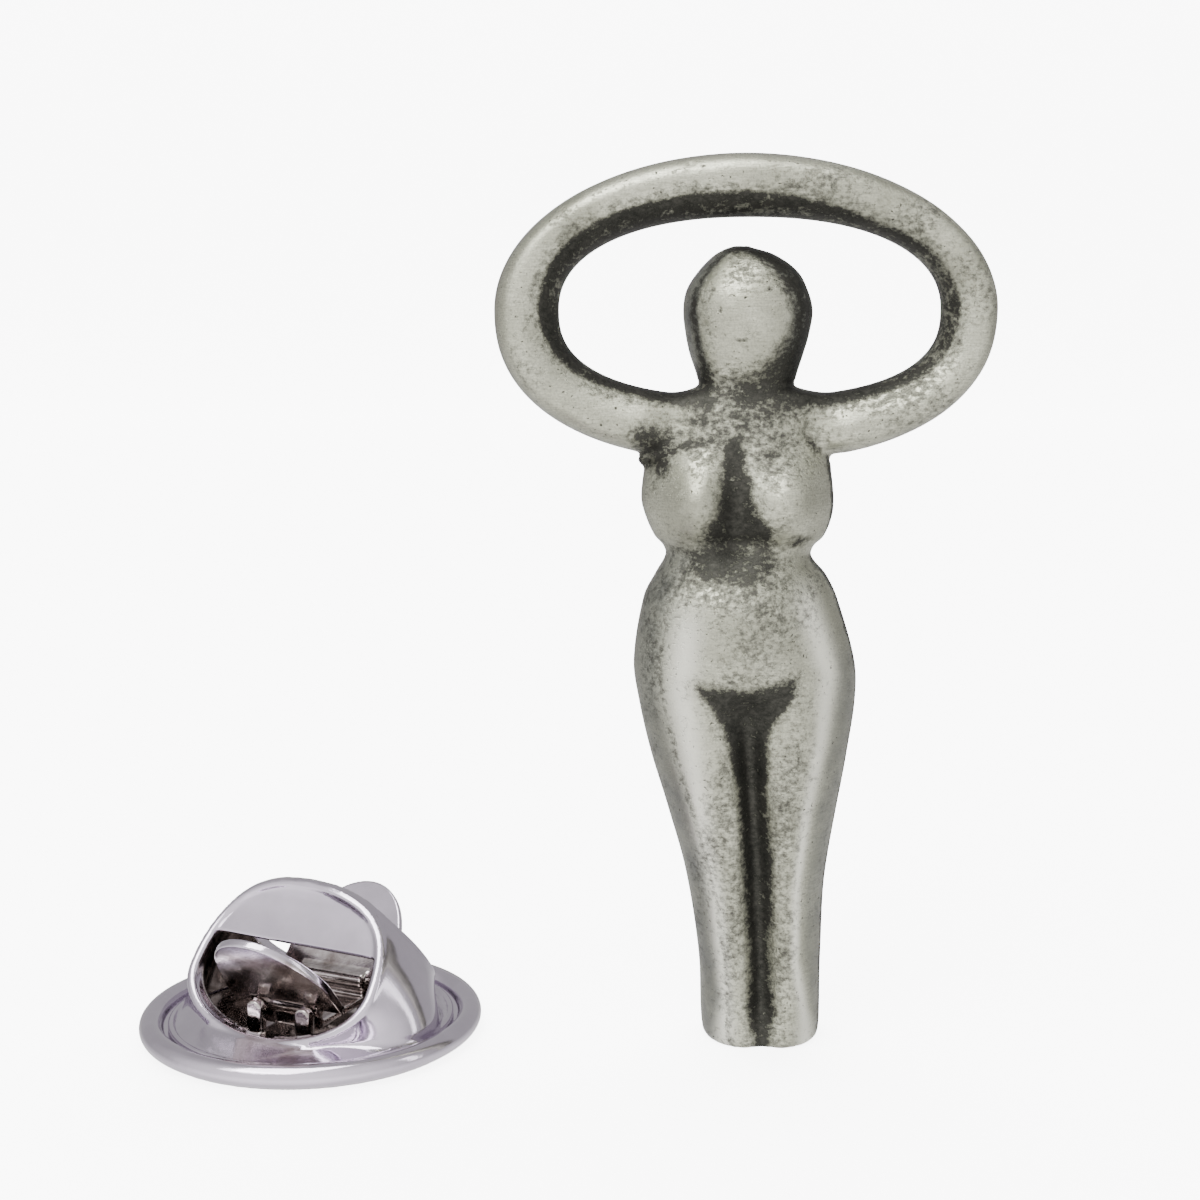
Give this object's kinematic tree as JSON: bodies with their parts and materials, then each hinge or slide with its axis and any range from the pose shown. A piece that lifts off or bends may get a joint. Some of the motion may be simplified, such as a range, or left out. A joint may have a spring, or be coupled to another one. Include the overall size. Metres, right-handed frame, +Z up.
{
  "type": "lapel pin",
  "caption": "Cast pewter lapel pin: a faceless figure whose raised arms form an oval ring, with a tack post, standing beside its butterfly clutch.",
  "frame": {"origin": "middle of the whole part's underside, on the surface that the foot and the clutch stand on", "axes": "+Z up along the figure, +Y out of the figure's flat back along the tack post, +X to the figure's left hand"},
  "size_m": [0.028, 0.0142, 0.0289],
  "materials": {
    "antique_pewter": "satin antique pewter, dark in its recesses",
    "plated_steel": "bright plated steel",
    "bright_nickel": "bright nickel plate"
  },
  "bodies": {
    "pin": {"cast_figure": "antique_pewter", "tack_post": "plated_steel", "clutch_base": "bright_nickel", "clutch_shell": "bright_nickel"},
    "wing_front": {"clutch_wing_front": "bright_nickel"},
    "wing_back": {"clutch_wing_back": "bright_nickel"}
  },
  "joints": [
    {"name": "pinch_front", "type": "hinge", "parent": "pin", "child": "wing_front", "pos_m": [-0.0089, -0.00267, 0.00135], "axis": [-0.9063, 0.4226, 0], "range_deg": [0, 8], "stiffness_Nm_per_rad": 0.03},
    {"name": "pinch_back", "type": "hinge", "parent": "pin", "child": "wing_back", "pos_m": [-0.00775, -0.00023, 0.00135], "axis": [0.9063, -0.4226, 0], "range_deg": [0, 8], "stiffness_Nm_per_rad": 0.03}
  ]
}
